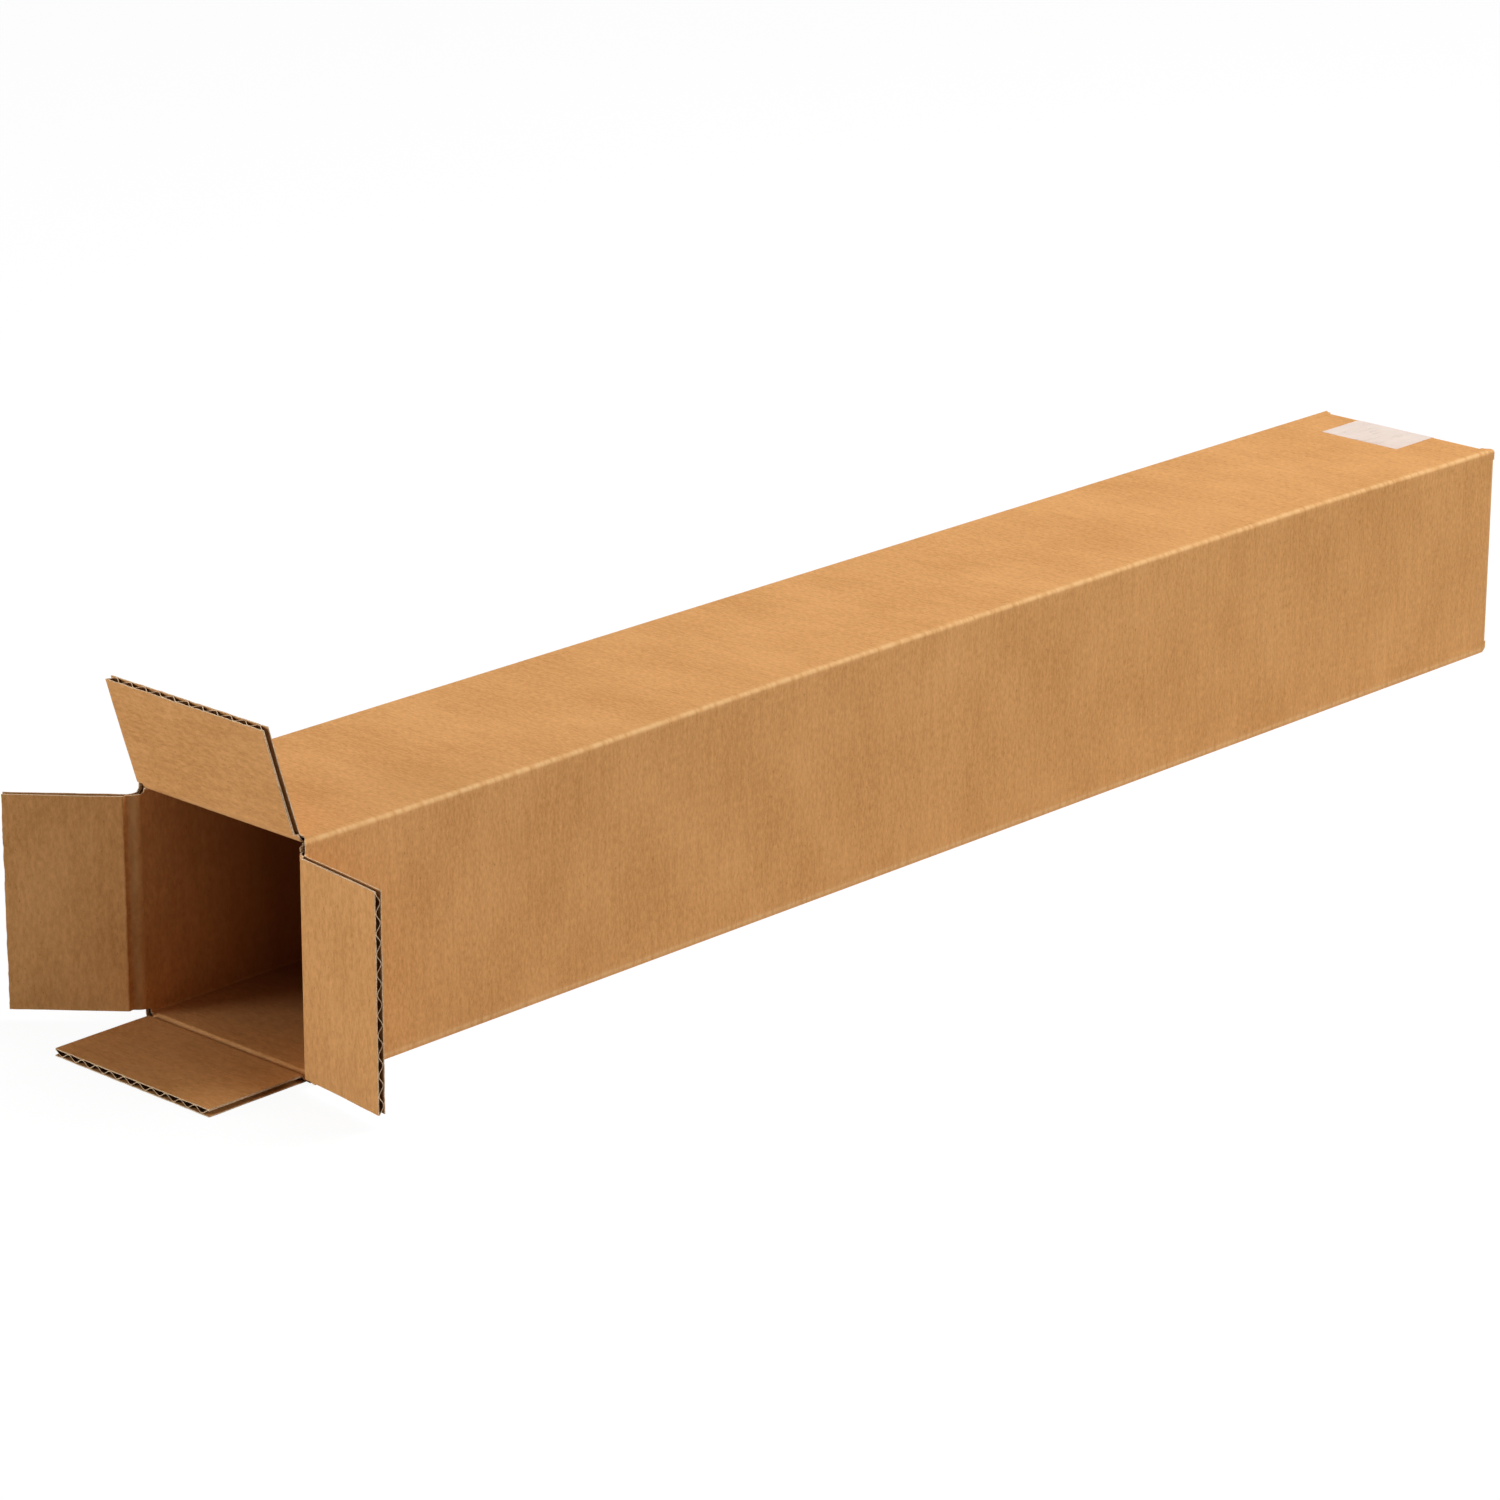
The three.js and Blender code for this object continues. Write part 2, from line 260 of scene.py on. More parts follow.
KRAFT_DARK = srgb(196, 136, 75)
KRAFT_LIGHT = srgb(242, 181, 117)
KRAFT_SPECK = srgb(128, 78, 36)
# Lighter colour of the creases: partly wear, partly a painted highlight
KRAFT_WEAR_AND_HIGHLIGHT = srgb(240, 194, 136)
KRAFT_PAINTED_INSIDE_SHADE = srgb(128, 78, 44)  # painted shade: the inside facing, darker away from the mouth


def kraft_paper(name):
    """Unbleached facing paper. Its fibres run round the box, which is across the flutes. Its inside facing
    gets painted shade, darker away from the mouth.
    """
    n = Nodes(name)
    blank = n.new("ShaderNodeAttribute", attribute_name="blank").outputs["Vector"]
    crease = n.new("ShaderNodeAttribute", attribute_name="crease").outputs["Fac"]
    fibres = n.noise(n.scaled(blank, (330, 800, 50)), detail=4, roughness=0.65)
    long_fibres = n.noise(n.scaled(blank, (40, 330, 50)), detail=2)
    clouds = n.noise(n.scaled(blank, (16, 24, 20)), detail=3)
    grain = n.noise(n.scaled(blank, (1300, 1700, 900)), detail=2)
    tone = n.math("ADD", n.math("MULTIPLY", fibres, 0.55), n.math("MULTIPLY", long_fibres, 0.17))
    tone = n.math("ADD", tone, n.math("MULTIPLY", clouds, 0.28))
    color = n.mix(n.ramp(tone, 0.32, 0.68), KRAFT_DARK, KRAFT_LIGHT)
    speckle = n.noise(n.scaled(blank, (520, 800, 500)), detail=1)
    color = n.mix(n.ramp(speckle, 0.69, 0.78, 0.0, 0.4), color, KRAFT_SPECK)
    color = n.mix(n.ramp(grain, 0.4, 0.75, 0.0, 0.25), color, KRAFT_LIGHT)
    # Lighter along the creases: partly real wear of the board, partly a painted highlight where the crease
    # catches the light.
    wear_and_highlight = n.math("MULTIPLY", crease, n.ramp(long_fibres, 0.36, 0.6, 0.25, 0.9))
    color = n.mix(wear_and_highlight, color, KRAFT_WEAR_AND_HIGHLIGHT)
    # Painted shade: the inside facing is darkened from 4 mm to 75 mm in from the mouth, and stays so
    # beyond, in place of the shade inside the box.
    layers = n.new("ShaderNodeSeparateXYZ", {0: blank})
    inside = n.math("GREATER_THAN", layers.outputs[2], 0.02)
    depth = n.ramp(layers.outputs[1], (NEAR_CREASE + 4) * MM, (NEAR_CREASE + 75) * MM, 0.0, 0.8)
    color = n.mix(n.math("MULTIPLY", inside, depth), color, KRAFT_PAINTED_INSIDE_SHADE)
    n.put(color, n.shader.inputs["Base Color"])
    n.put(n.ramp(tone, 0.3, 0.7, 0.8, 0.7), n.shader.inputs["Roughness"])
    n.shader.inputs["Specular IOR Level"].default_value = 0.12
    round_box = n.new("ShaderNodeSeparateXYZ", {0: blank}).outputs[0]
    flutes = n.math("SINE", n.math("MULTIPLY", round_box, 2 * math.pi / (FLUTE_PITCH * MM)))
    normal = n.bump(flutes, 0.00003)
    normal = n.bump(n.math("ADD", fibres, n.math("MULTIPLY", grain, 0.5)), 0.0001, 0.5, normal)
    n.put(normal, n.shader.inputs["Normal"])
    return n.material


def cut_edge(name):
    """The torn, paler edge that a die leaves on a facing."""
    n = Nodes(name)
    place = n.new("ShaderNodeTexCoord").outputs["Object"]
    torn = n.noise(n.scaled(place, (1400, 1400, 1400)), detail=3)
    color = n.mix(n.ramp(torn, 0.35, 0.65), srgb(205, 165, 122), srgb(244, 218, 184))
    n.put(color, n.shader.inputs["Base Color"])
    n.shader.inputs["Roughness"].default_value = 0.9
    n.shader.inputs["Specular IOR Level"].default_value = 0.15
    n.put(n.bump(torn, 0.0003, 0.8), n.shader.inputs["Normal"])
    return n.material


def fluted_medium(name):
    """The darker fluted sheet inside the board."""
    n = Nodes(name)
    blank = n.new("ShaderNodeAttribute", attribute_name="blank").outputs["Vector"]
    fibres = n.noise(n.scaled(blank, (700, 1500, 300)), detail=2)
    color = n.mix(n.ramp(fibres, 0.3, 0.7), srgb(78, 48, 28), srgb(128, 88, 54))
    n.put(color, n.shader.inputs["Base Color"])
    n.shader.inputs["Roughness"].default_value = 0.9
    n.shader.inputs["Specular IOR Level"].default_value = 0.1
    n.put(n.bump(fibres, 0.0001), n.shader.inputs["Normal"])
    return n.material


def packing_tape(name):
    """Clear tape, hazy with small wrinkles, so the board shows through it only faintly."""
    n = Nodes(name)
    place = n.new("ShaderNodeTexCoord").outputs["Object"]
    wrinkles = n.noise(n.scaled(place, (110, 60, 90)), detail=2)
    streaks = n.noise(n.scaled(place, (260, 60, 200)), detail=1)
    haze = n.math("ADD", n.math("MULTIPLY", wrinkles, 0.7), n.math("MULTIPLY", streaks, 0.3))
    n.put(n.ramp(haze, 0.3, 0.7, 0.76, 0.86), n.shader.inputs["Alpha"])
    n.put(n.mix(haze, srgb(246, 222, 206), srgb(255, 238, 226)), n.shader.inputs["Base Color"])
    n.put(n.ramp(haze, 0.3, 0.7, 0.22, 0.4), n.shader.inputs["Roughness"])
    n.put(n.bump(wrinkles, 0.0001, 0.12), n.shader.inputs["Normal"])
    return n.material


paper = kraft_paper("kraft_paper")
edge = cut_edge("cut_board_edge")
medium = fluted_medium("fluted_medium")
tape_film = packing_tape("packing_tape")
BOARD_MATERIALS = [paper, edge, medium]
PAPER, EDGE, FLUTED = range(3)


# The long panels

def bow(y):
    """How far the top right crease stands up, out of true, along the box."""
    along = (y - NEAR_CREASE) / (FAR_CREASE - NEAR_CREASE)
    return 1.9 * smooth((along - 0.12) / 0.3) * (1 - smooth((along - 0.8) / 0.2))


def settle(points):
    """Bows the crease and gives the panels the slight waves of real board."""
    x, y, z = points[..., 0], points[..., 1], points[..., 2]
    right = np.clip((x + HALF_WIDTH) / (2 * HALF_WIDTH), 0, 1)
    up = np.clip(z / HEIGHT, 0, 1)
    lift = bow(y) * right * up
    fade = smooth((y - NEAR_CREASE - 12) / 60) * smooth((FAR_CREASE - 50 - y) / 60)
    across = np.sin(np.pi * right)
    upright = np.sin(np.pi * up)
    wave_top = 0.22 * np.sin(y / 43 + 1.1) + 0.14 * np.sin(y / 19.5 + 0.4) - 0.25
    wave_side = 0.2 * np.sin(y / 51 + 2.2) + 0.12 * np.sin(y / 17.0 + 3.0) - 0.3
    moved = points.copy()
    moved[..., 2] += lift + fade * across * wave_top * up
    moved[..., 0] += fade * upright * wave_side * (2 * right - 1)
    return moved


def corner(point, before, after):
    """Outside and inside (x, z) points round one long crease, with how far each is from it."""
    point, before, after = map(np.array, (point, before, after))
    r, inner_r = CORNER_RADIUS, INNER_CORNER_RADIUS
    centre = point + r * (after - before)
    inner_centre = point + (BOARD + inner_r) * (after - before)
    outer, inner = [], []
    for share in (0, 0.5, 1):
        back = SLOT_EDGE + (r - SLOT_EDGE) * share
        inner_back = SLOT_EDGE + (BOARD + inner_r - SLOT_EDGE) * share
        outer.append(point - back * before)
        inner.append(point + BOARD * after - inner_back * before)
    turn = np.radians(np.linspace(0, 90, 9))
    for angle in turn[1:]:
        direction = before * math.sin(angle) - after * math.cos(angle)
        outer.append(centre + r * direction)
        inner.append(inner_centre + inner_r * direction)
    for share in (0.5, 0):
        ahead = SLOT_EDGE + (r - SLOT_EDGE) * share
        inner_ahead = SLOT_EDGE + (BOARD + inner_r - SLOT_EDGE) * share
        outer.append(point + ahead * after)
        inner.append(point - BOARD * before + inner_ahead * after)
    return np.array(outer), np.array(inner)


class Columns:
    """The section of the carton, from the right panel's lower edge round to the bottom panel's."""

    def __init__(self):
        self.outer = []
        self.inner = []
        self.across = []  # distance from the crease, within a slot's width, or None
        self.side = []  # True where the panel to come is a side panel

    def add(self, outer, inner, across, side):
        for out_point, in_point, distance in zip(outer, inner, across):
            self.outer.append(np.array(out_point, float))
            self.inner.append(np.array(in_point, float))
            self.across.append(distance)
            self.side.append(side)

    def panel(self, start, end, inward, side):
        steps = np.linspace(0, 1, PANEL_COLUMNS)[1:-1, None]
        outer = np.array(start) + (np.array(end) - np.array(start)) * steps
        self.add(outer, outer + BOARD * np.array(inward), [None] * len(outer), side)

    def crease(self, point, before, after, side):
        outer, inner = corner(point, before, after)
        run = np.concatenate([[0], np.cumsum(np.linalg.norm(np.diff(outer, axis=0), axis=1))])
        self.add(outer, inner, (run / run[-1] - 0.5) * SLOT_WIDTH, side)


def section():
    w, h, s = HALF_WIDTH, HEIGHT, SLOT_EDGE
    columns = Columns()
    low = np.array([0, 0.9, 2.0, 3.2, 4.5, s])
    edge_out = [(w, z) for z in low]
    edge_in = [(w - BOARD, z) for z in low]
    columns.add(edge_out, edge_in, low - BOARD / 2, True)
    columns.panel((w, s), (w, h - s), (-1, 0), True)
    columns.crease((w, h), (0, 1), (-1, 0), False)
    columns.panel((w - s, h), (s - w, h), (0, -1), False)
    columns.crease((-w, h), (-1, 0), (0, -1), True)
    columns.panel((-w, h - s), (-w, s), (1, 0), True)
    columns.crease((-w, 0), (0, -1), (1, 0), False)
    columns.panel((s - w, 0), (w - s, 0), (0, 1), False)
    fold = TAB_FOLD
    end = w - BOARD - 0.15
    turn = np.radians(np.linspace(0, 80, 6))
    last_out = [(w - s, 0)] + [(end - fold + fold * math.sin(a), fold - fold * math.cos(a)) for a in turn]
    last_in = [(w - s, BOARD)] + [(x, BOARD) for x, z in last_out[1:]]
    columns.add(last_out, last_in, [x - w + BOARD / 2 for x, z in last_out], False)
    return columns


def near_rows():
    rows = [NEAR_OUTER_CREASE, NEAR_OUTER_CREASE + STRIP, NEAR_CREASE, NEAR_CREASE + STRIP]
    return rows + [NEAR_CREASE + distance for distance in CREASE_ROWS]


def far_rows():
    rows = [FAR_CREASE - distance for distance in reversed(CREASE_ROWS)]
    rows += [FAR_CREASE - STRIP, FAR_CREASE]
    return rows + [FAR_OUTER_CREASE - STRIP, FAR_OUTER_CREASE - FAR_CORNER_SETBACK]


def toward_side(across, x, z):
    """The distance from a corner's crease, counted towards the side panel."""
    return -across if (x > 0) == (z > HEIGHT / 2) else across


def corner_step(across, x, z):
    """How far a corner falls back from the side panel's crease to the top or bottom panel's."""
    return PAIR_OFFSET * smooth((0.5 - toward_side(across, x, z)) / 3.4)


def near_corner_end(across, x, z):
    if x > 0:
        return NEAR_OUTER_CREASE + 1.4 + 0.8 * corner_step(across, x, z)
    into_round = abs(across) - (SLOT_WIDTH / 2 - SLOT_END_RADIUS)
    return NEAR_CREASE + math.sqrt(SLOT_END_RADIUS**2 - max(into_round, 0) ** 2)


def far_corner_end(across, x, z):
    return FAR_OUTER_CREASE - FAR_CORNER_SETBACK - 0.8 * corner_step(across, x, z)


def carton_shell():
    """The long panels: a sheet round the section, given the board's thickness and cut edges."""
    columns = section()
    near, far = near_rows(), far_rows()
    middle = np.linspace(near[-1], far[0], PANEL_ROWS)[1:-1]
    rows = np.concatenate([near, middle, far])
    count = len(columns.outer)
    outer_line = np.array(columns.outer)
    run = np.concatenate([[0], np.cumsum(np.linalg.norm(np.diff(outer_line, axis=0), axis=1))])
    slot_half = SLOT_WIDTH / 2
    index = -np.ones((len(rows), count), int)
    outer, inner, blank, crease = [], [], [], []
    for column in range(count):
        across = columns.across[column]
        x_out, z_out = columns.outer[column]
        x_in, z_in = columns.inner[column]
        nearest, farthest = -1000, 1000
        if across is not None:
            farthest = far_corner_end(across, x_out, z_out)
            if abs(across) < slot_half - 1e-6 or x_out > 0:
                nearest = near_corner_end(across, x_out, z_out)
        previous = None
        for row, y in enumerate(rows):
            y = min(max(y, nearest), farthest)
            if previous is not None and abs(y - previous) < 1e-6:
                index[row, column] = index[row - 1, column]
                continue
            previous = y
            index[row, column] = len(outer)
            outer.append((x_out, y, z_out))
            inner.append((x_in, y, z_in))
            blank.append((run[column], y, 0))
            crease.append(0 if across is None else smooth(1 - abs(across) / 1.7))
    faces = []
    for column in range(count - 1):
        in_slot = columns.across[column] is not None and columns.across[column + 1] is not None
        on_right = columns.outer[column][0] > 0
        first, last = (0 if on_right else 2, len(rows) - 1) if in_slot else (1, len(rows) - 2)
        panel_column = column if columns.across[column] is None else column + 1
        if not in_slot and not columns.side[panel_column]:
            first, last = 3, len(rows) - 4
        for row in range(first, last):
            after, above = column + 1, row + 1
            ring = [index[row, column], index[row, after], index[above, after], index[above, column]]
            ring = [v for i, v in enumerate(ring) if v != ring[i - 1]]
            if len(ring) > 2:
                faces.append(tuple(int(v) for v in ring))
    outer, inner = settle(np.array(outer)), settle(np.array(inner))
    return outer, inner, np.array(blank), np.array(crease), faces, run, columns


def add_board(parts, outer, inner, blank, crease, faces):
    """Turns a sheet of faces into board: two surfaces, and rims that show two facings and a gap."""
    used = sorted({v for face in faces for v in face})
    place = {v: i for i, v in enumerate(used)}
    outer, inner, blank, crease = outer[used], inner[used], blank[used], crease[used]
    faces = [tuple(place[v] for v in face) for face in faces]
    inside_blank = blank + (0, 0, INSIDE_LAYER)
    a = parts.add_points(outer, blank, crease)
    b = parts.add_points(inner, inside_blank, crease * 0.6)
    parts.add_faces([tuple(a + v for v in face[::-1]) for face in faces], PAPER)
    parts.add_faces([tuple(b + v for v in face) for face in faces], PAPER)
    once = {}
    for face in faces:
        for here, there in zip(face, face[1:] + face[:1]):
            if (there, here) in once:
                del once[(there, here)]
            else:
                once[(here, there)] = face
    inward = np.zeros_like(outer)
    for (here, there), face in once.items():
        along = outer[there] - outer[here]
        to_middle = outer[list(face)].mean(axis=0) - (outer[here] + outer[there]) / 2
        away = to_middle - along * (to_middle @ along) / (along @ along)
        away /= np.linalg.norm(away)
        inward[here] += away
        inward[there] += away
    rim = sorted({v for edge_ends in once for v in edge_ends})
    order = {v: i for i, v in enumerate(rim)}
    inward = inward[rim]
    inward /= np.maximum(np.linalg.norm(inward, axis=1, keepdims=True), 1e-9)
    across = inner[rim] - outer[rim]
    across /= np.linalg.norm(across, axis=1, keepdims=True)
    outer_edge = outer[rim] + across * LINER
    inner_edge = inner[rim] - across * LINER
    deep = inward * RIM_GROOVE
    layers = [outer_edge, outer_edge + deep, inner_edge + deep, inner_edge]
    starts = [parts.add_points(layer, blank[rim], 0) for layer in layers]
    for here, there in once:
        i, j = order[here], order[there]
        ladder = [(a + here, a + there)] + [(start + i, start + j) for start in starts]
        ladder.append((b + here, b + there))
        kinds = [EDGE, EDGE, FLUTED, EDGE, EDGE]
        for (p, q), (p2, q2), kind in zip(ladder, ladder[1:], kinds):
            parts.add_faces([(p, q, q2, p2)], kind)


def add_glue_tab(parts):
    """The tab is glued inside the right panel and turned up from the bottom panel."""
    z = np.array([0.8, 2.4, 8, 16, 24, TAB_HEIGHT + BOARD - 0.8, TAB_HEIGHT + BOARD])
    back = HALF_WIDTH - BOARD - 0.05
    y_share = np.linspace(0, 1, 60)
    half = FAR_CREASE - TAB_SETBACK - TAB_TAPER * (z - z[0]) / (z[-1] - z[0])
    y = -half[None, :] + 2 * half[None, :] * y_share[:, None]
    outer = np.stack([np.full_like(y, back), y, np.broadcast_to(z, y.shape)], axis=2)
    outer = settle(outer)
    inner = outer - (TAB_BOARD, 0, 0)
    inner[:, 0, 0] += 1.4
    blank = np.stack([600 + np.broadcast_to(z, y.shape), y, np.full_like(y, 90)], axis=2)
    parts.slab(outer, inner, blank, 0, PAPER, EDGE)


# Flaps

class Side:
    """Where a flap hangs: its crease line, the way out along the box, and its outward normal."""

    def __init__(self, crease, out, normal, middle_run):
        self.crease = np.array(crease, float)
        self.out = np.array(out, float)
        self.normal = np.array(normal, float)
        # the way that the section is walked: up the right panel, left along the top
        self.along = np.cross((0, 1, 0), self.normal) * -1
        self.middle_run = middle_run


def crease_thickness(u):
    """The board's thickness at a distance past the crease. The panel's side slopes, the flap's steps."""
    down = smooth((u + CREASE_SHOULDER) / (CREASE_SHOULDER + CREASE_VALLEY))
    back = smooth((u - CREASE_VALLEY) / CREASE_STEP)
    return BOARD - (BOARD - CREASED_BOARD) * down * (1 - back)


def flap_lines(angle_degrees, flat_rows):
    """Along one flap from its panel to its tip: distance past the crease, outside and inside points."""
    angle = math.radians(angle_degrees)
    bend = BEND_REACH
    steps = 10
    u = [-STRIP, -(STRIP + bend) / 2]
    points = [(-STRIP, 0.0), (-(STRIP + bend) / 2, 0.0)]
    turns = [0.0, 0.0]
    if abs(angle) > 1e-3:
        radius = bend / math.tan(abs(angle) / 2)
        arc = radius * abs(angle)
        sign = math.copysign(1, angle)
        for i in range(steps + 1):
            turn = angle * i / steps
            points.append((-bend + radius * math.sin(abs(turn)), sign * radius * (1 - math.cos(turn))))
            turns.append(turn)
            u.append(arc * (i / steps - 0.5))
    else:
        arc = 2 * bend
        for i in range(steps + 1):
            points.append((-bend + arc * i / steps, 0.0))
            turns.append(0.0)
            u.append(arc * (i / steps - 0.5))
    flat = np.concatenate([np.linspace(bend + 0.4, 4.4, 5), np.linspace(6, FLAP_DEPTH, flat_rows)])
    for distance in flat:
        points.append((distance * math.cos(angle), distance * math.sin(angle)))
        turns.append(angle)
        u.append(arc / 2 + distance - bend)
    u, points, turns = np.array(u), np.array(points), np.array(turns)
    normals = np.stack([-np.sin(turns), np.cos(turns)], axis=1)
    return u, points, normals


def ragged(count, amount, rng):
    """A small random run of numbers, smoothed over neighbours."""
    values = rng.normal(0, amount, count + 4)
    return np.convolve(values, np.ones(3) / 3, "same")[2:-2]


def make_flap(parts, side, angle_degrees, rng, curl=0.0, hidden=False):
    """One flap of real board: two facings with the fluted sheet between them."""
    u, line, normals = flap_lines(angle_degrees, 6 if hidden else 14)
    thickness = crease_thickness(u)
    beyond = np.clip((u - 8) / (FLAP_DEPTH - 8), 0, 1)
    line = line + normals * (curl * beyond**2)[:, None]
    half = FLAP_WIDTH / 2

    def sheet(lateral, depth, tip_jitter, side_jitter):
        """Points at lateral places (columns) and depths below the outside (rows, or a grid)."""
        depth = np.broadcast_to(depth, (len(u), len(lateral)))
        out = line[:, None, 0] - normals[:, None, 0] * depth
        normal = line[:, None, 1] - normals[:, None, 1] * depth
        tip = smooth((u - FLAP_DEPTH + 6) / 6)[:, None] * tip_jitter[None, :]
        out = out + tip * (line[-1, 0] - line[-2, 0]) / np.linalg.norm(line[-1] - line[-2])
        normal = normal + tip * (line[-1, 1] - line[-2, 1]) / np.linalg.norm(line[-1] - line[-2])
        places = np.broadcast_to(lateral, out.shape).copy()
        places[:, 0] += side_jitter[0]
        places[:, -1] += side_jitter[1]
        flat_places = places[..., None] * side.along
        points = side.crease + flat_places + out[..., None] * side.out + normal[..., None] * side.normal
        blank_y = side.crease[1] + u * side.out[1]
        blank = np.stack([side.middle_run + places, np.broadcast_to(blank_y[:, None], places.shape),
                          np.zeros_like(places)], axis=2)
        return points, blank

    lateral = np.linspace(-half, half, 34 if hidden else 67)
    crease = smooth(1 - np.abs(u + 0.7) / 2.6)[:, None] * np.ones((1, len(lateral)))
    for inside in (False, True):
        tip = ragged(len(lateral), 0.16, rng)
        side_jitter = [ragged(len(u), 0.09, rng) * smooth(u / 8), ragged(len(u), 0.09, rng) * smooth(u / 8)]
        first = (thickness - LINER)[:, None] if inside else np.zeros((len(u), 1))
        last = thickness[:, None] if inside else np.full((len(u), 1), LINER)
        front, blank = sheet(lateral, first, tip, side_jitter)
        back, _ = sheet(lateral, last, tip, side_jitter)
        blank = blank + (0, 0, INSIDE_LAYER * inside)
        shown_crease = (0.5 if inside else 1) * crease.ravel()
        parts.slab(front, back, blank, shown_crease, PAPER, EDGE)
    waves = max(1, round(FLAP_WIDTH / FLUTE_PITCH))
    lateral = np.linspace(-half, half, waves * (HIDDEN_FLUTE_STEPS if hidden else FLUTE_STEPS) + 1)
    wave = np.cos(np.linspace(0, 2 * np.pi * waves, len(lateral)) + rng.uniform(-0.4, 0.4))
    room = np.maximum(thickness - 2 * LINER - MEDIUM, 0.02)[:, None]
    middle = thickness[:, None] / 2 + room / 2 * wave[None, :]
    tip = ragged(len(lateral), 0.1, rng) - 0.15
    still = [np.zeros(len(u)), np.zeros(len(u))]
    front, blank = sheet(lateral, middle - MEDIUM / 2, tip, still)
    back, _ = sheet(lateral, middle + MEDIUM / 2, tip, still)
    parts.slab(front, back, blank, 0, FLUTED, EDGE)


outer, inner, blank, crease, faces, run, columns = carton_shell()
shell = Parts()
add_board(shell, outer, inner, blank, crease, faces)
add_glue_tab(shell)


def run_at(x, z):
    """How far round the section the outside point nearest to (x, z) lies."""
    places = np.array(columns.outer)
    return run[np.argmin(np.linalg.norm(places - (x, z), axis=1))]


middle_z = HEIGHT / 2
SIDES = {
    "top": ((0, NEAR_CREASE, HEIGHT), (0, 0, 1), run_at(0, HEIGHT)),
    "right": ((HALF_WIDTH, NEAR_OUTER_CREASE, middle_z), (1, 0, 0), run_at(HALF_WIDTH, middle_z)),
    "bottom": ((0, NEAR_CREASE, 0), (0, 0, -1), run_at(0, 0)),
    "left": ((-HALF_WIDTH, NEAR_OUTER_CREASE, middle_z), (-1, 0, 0), run_at(-HALF_WIDTH, middle_z)),
}
CURL = {"top": 0.5, "right": -0.9, "bottom": 0.0, "left": 0.4}

for name, (crease_point, normal, middle_run) in SIDES.items():
    x, y, z = crease_point
    far = Side((x, -y, z), (0, 1, 0), normal, middle_run)
    make_flap(shell, far, -90, np.random.default_rng(20 + len(name)), hidden=True)

carton = shell.mesh_object("carton_shell", BOARD_MATERIALS)
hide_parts("carton_body")
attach(carton, "carton")

for number, (name, (crease_point, normal, middle_run)) in enumerate(SIDES.items()):
    hinge = HINGES[f"{name}_flap_crease"]
    rest_angle = -90 - hinge["range_deg"][0]
    side = Side(crease_point, (0, -1, 0), normal, middle_run)
    parts = Parts()
    make_flap(parts, side, rest_angle, np.random.default_rng(40 + number), CURL[name])
    flap = parts.mesh_object(f"{name}_end_flap", BOARD_MATERIALS)
    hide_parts(f"{name}_flap")
    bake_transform(flap)


# Tape

def tape_line(lift):
    """The tape's path as (y, z), from its end on the top panel to its end on the bottom panel."""
    fold = TAPE_FOLD
    points = [(y, HEIGHT + lift) for y in np.linspace(TAPE_LOW[1], FAR_CREASE - fold, 12)]
    centre = np.array([FAR_CREASE - fold, HEIGHT - fold])
    edge_point = np.array([FAR_OUTER_CREASE + lift, HEIGHT - SLOT_EDGE])
    away = edge_point - centre
    reach = fold + lift
    leave = math.atan2(away[1], away[0]) + math.acos(reach / np.linalg.norm(away))
    for angle in np.linspace(math.pi / 2, leave, 6)[1:]:
        points.append((centre[0] + reach * math.cos(angle), centre[1] + reach * math.sin(angle)))
    for z in np.linspace(edge_point[1], SLOT_EDGE, 16):
        points.append((edge_point[0], z))
    start = np.array([points[-1][0], points[-1][1]])
    under = [(FAR_CREASE - fold, lift * 0.4), (FAR_CREASE - fold - 1.5, 0.02 + lift * 0.4)]
    points += [tuple(start + (np.array(under[0]) - start) * s) for s in (0.3, 0.6, 0.85)]
    points += under + [(y, 0.02 + lift * 0.4) for y in np.linspace(FAR_CREASE - 8, TAPE_LOW[1], 6)]
    return np.array(points)


def sealing_tape():
    across = np.linspace(TAPE_LOW[0], TAPE_HIGH[0], 25)
    sheets = []
    for lift in (0.22, 0.08):
        line = tape_line(lift)
        x = np.broadcast_to(across, (len(line), len(across)))
        y = np.broadcast_to(line[:, 0, None], x.shape)
        z = np.broadcast_to(line[:, 1, None], x.shape)
        sheets.append(np.stack([x, y, z], axis=2))
    blank = sheets[0].copy()
    parts = Parts()
    parts.slab(sheets[0], sheets[1], blank, 0, 0, 0)
    return parts.mesh_object("packing_tape_strip", [tape_film])


tape = sealing_tape()
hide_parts("sealing_tape")
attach(tape, "carton")


# Stage, light and camera

CAMERA_FOCUS = 5583.9  # in pixels of a frame that is CAMERA_FRAME pixels wide
CAMERA_FRAME = 1500
CAMERA_TILT = (71.123, -0.251, 43.24)  # degrees
AMBIENT = 0.08
LAMPS = {  # the way to each lamp, its distance, its size and its watts
    "back_top": ((0.35, 0.8, 1.0), 2.6, 1.4, 26),
    "right_side": ((1.0, 0.1, 0.35), 2.6, 1.2, 22.5),
    "front_left": ((-0.55, -1.0, 0.14), 2.4, 1.0, 29),
    "overhead": ((0.1, 0.2, 1.0), 2.4, 1.0, 24),
}


def camera():
    data = bpy.data.cameras.new("camera")
    data.sensor_width = 36
    data.lens = CAMERA_FOCUS / CAMERA_FRAME * data.sensor_width
    data.clip_end = 50
    obj = bpy.data.objects.new("camera", data)
    obj.location = (1.6683, NEAR_CREASE * MM - 1.4563, 0.8898)
    obj.rotation_euler = [math.radians(angle) for angle in CAMERA_TILT]
    bpy.context.collection.objects.link(obj)
    bpy.context.scene.camera = obj


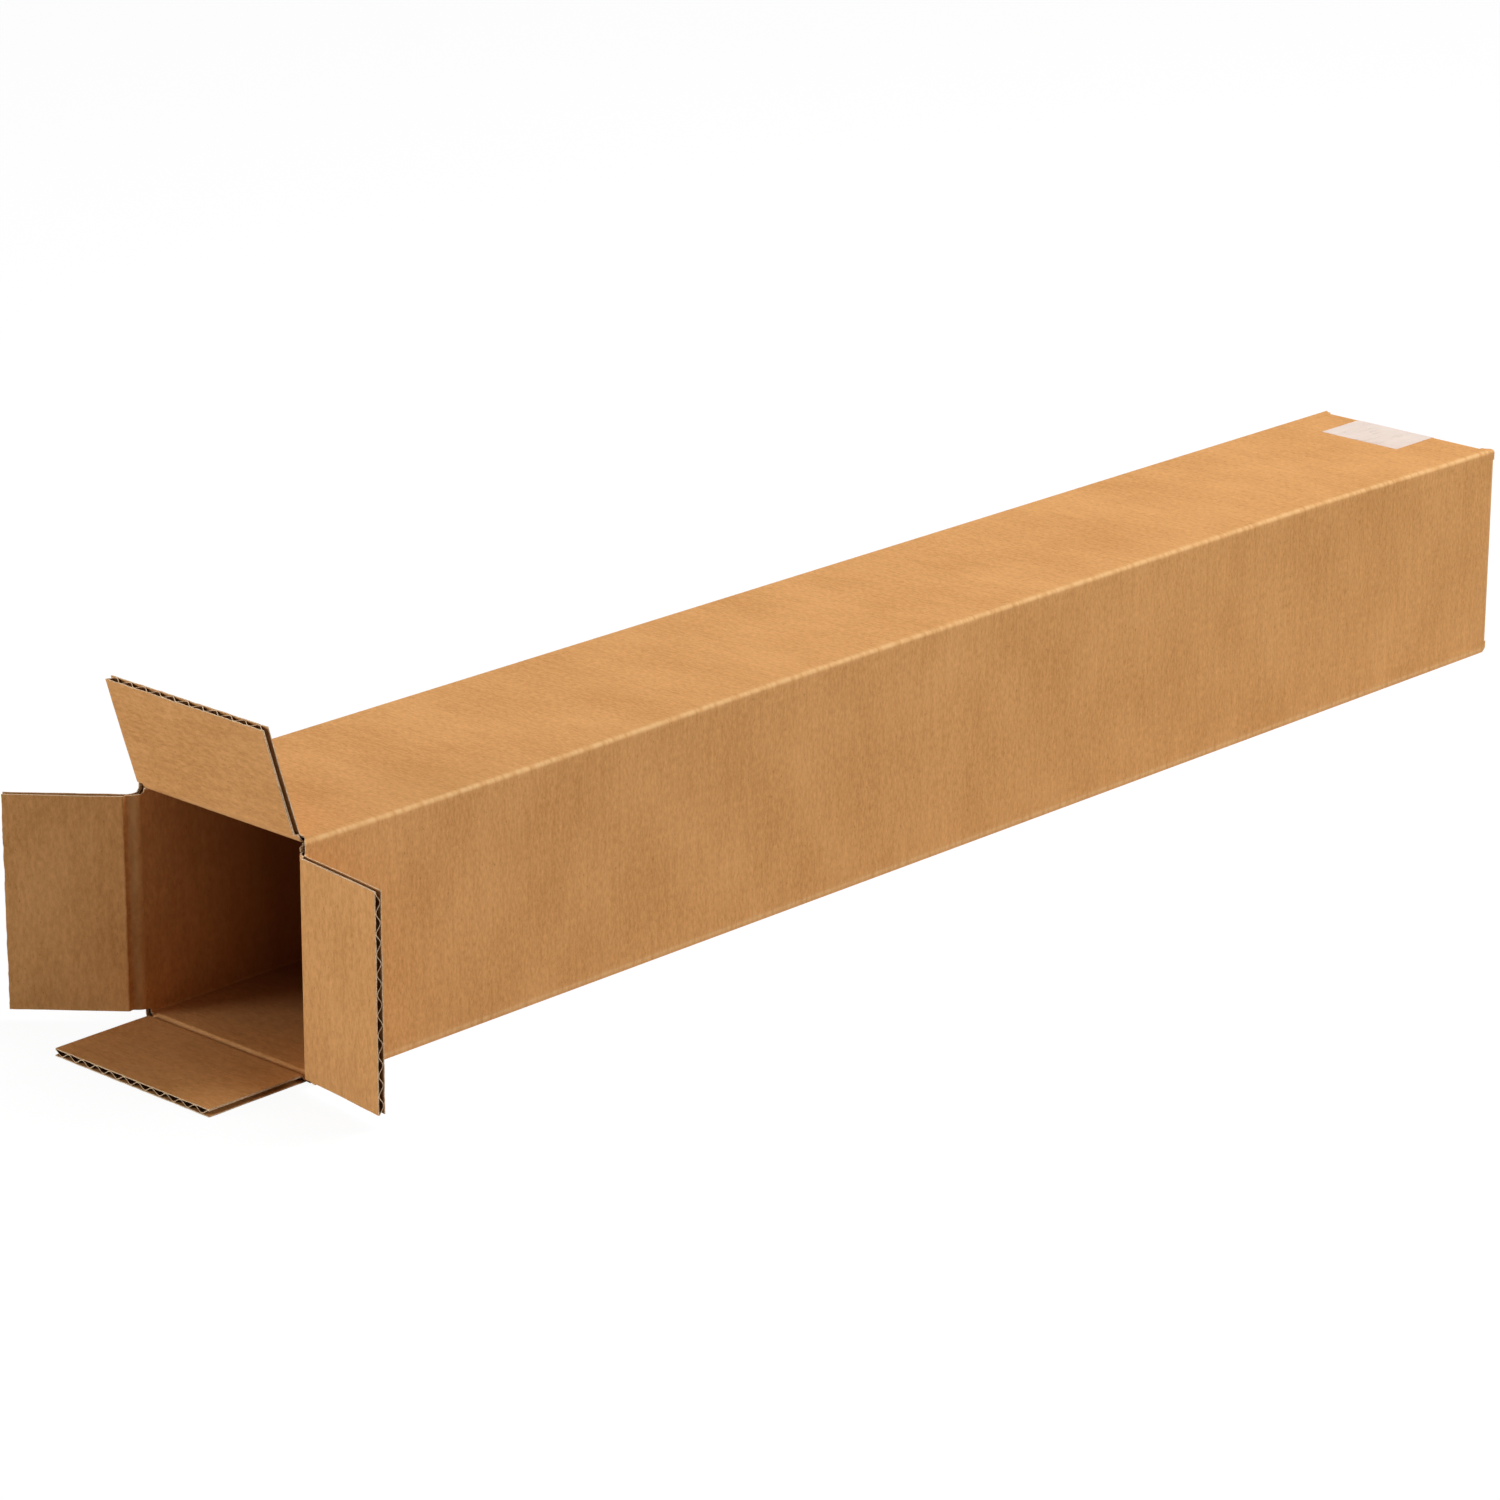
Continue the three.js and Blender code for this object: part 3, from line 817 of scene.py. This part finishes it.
def white_to_camera(tree):
    """1 for rays that should see plain white: from the camera, off gloss or through film."""
    rays = tree.nodes.new("ShaderNodeLightPath")
    seen = rays.outputs["Is Camera Ray"]
    for name in ("Is Glossy Ray", "Is Transmission Ray"):
        either = tree.nodes.new("ShaderNodeMath")
        either.operation = "MAXIMUM"
        tree.links.new(seen, either.inputs[0])
        tree.links.new(rays.outputs[name], either.inputs[1])
        seen = either.outputs[0]
    return seen


def world():
    scene_world = bpy.data.worlds.new("world")
    bpy.context.scene.world = scene_world
    scene_world.use_nodes = True
    tree = scene_world.node_tree
    tree.nodes.clear()
    ambient = tree.nodes.new("ShaderNodeBackground")
    ambient.inputs["Color"].default_value = (1.0, 0.98, 0.96, 1)
    ambient.inputs["Strength"].default_value = AMBIENT
    white = tree.nodes.new("ShaderNodeBackground")
    white.inputs["Color"].default_value = (1, 1, 1, 1)
    mix = tree.nodes.new("ShaderNodeMixShader")
    tree.links.new(white_to_camera(tree), mix.inputs[0])
    tree.links.new(ambient.outputs[0], mix.inputs[1])
    tree.links.new(white.outputs[0], mix.inputs[2])
    out = tree.nodes.new("ShaderNodeOutputWorld")
    tree.links.new(mix.outputs[0], out.inputs[0])


def floor():
    mesh = bpy.data.meshes.new("floor")
    far = 8
    mesh.from_pydata([(-far, -far, 0), (far, -far, 0), (far, far, 0), (-far, far, 0)], [], [(0, 1, 2, 3)])
    obj = bpy.data.objects.new("floor", mesh)
    obj.location.z = -0.0003
    bpy.context.collection.objects.link(obj)
    material = bpy.data.materials.new("white_floor")
    material.use_nodes = True
    tree = material.node_tree
    shaded = tree.nodes["Principled BSDF"]
    shaded.inputs["Base Color"].default_value = (0.45, 0.45, 0.45, 1)
    shaded.inputs["Roughness"].default_value = 1.0
    shaded.inputs["Specular IOR Level"].default_value = 0.0
    white = tree.nodes.new("ShaderNodeEmission")
    white.inputs["Strength"].default_value = 1.18
    share = tree.nodes.new("ShaderNodeMath")
    share.operation = "MULTIPLY"
    share.inputs[1].default_value = 0.8
    tree.links.new(white_to_camera(tree), share.inputs[0])
    mix = tree.nodes.new("ShaderNodeMixShader")
    tree.links.new(share.outputs[0], mix.inputs[0])
    tree.links.new(shaded.outputs[0], mix.inputs[1])
    tree.links.new(white.outputs[0], mix.inputs[2])
    tree.links.new(mix.outputs[0], tree.nodes["Material Output"].inputs[0])
    mesh.materials.append(material)


def softbox(name, direction, distance, size, watts):
    data = bpy.data.lights.new(name, "AREA")
    data.shape = "DISK"
    data.size = size
    data.energy = watts
    obj = bpy.data.objects.new(name, data)
    way = Vector(direction).normalized()
    target = Vector((0, 0, 0.05))
    obj.location = target + way * distance
    obj.rotation_euler = (-way).to_track_quat("-Z", "Y").to_euler()
    bpy.context.collection.objects.link(obj)


camera()
world()
floor()
for lamp, (direction, distance, size, watts) in LAMPS.items():
    softbox(lamp, direction, distance, size, watts)
bpy.context.scene.view_settings.view_transform = "Standard"
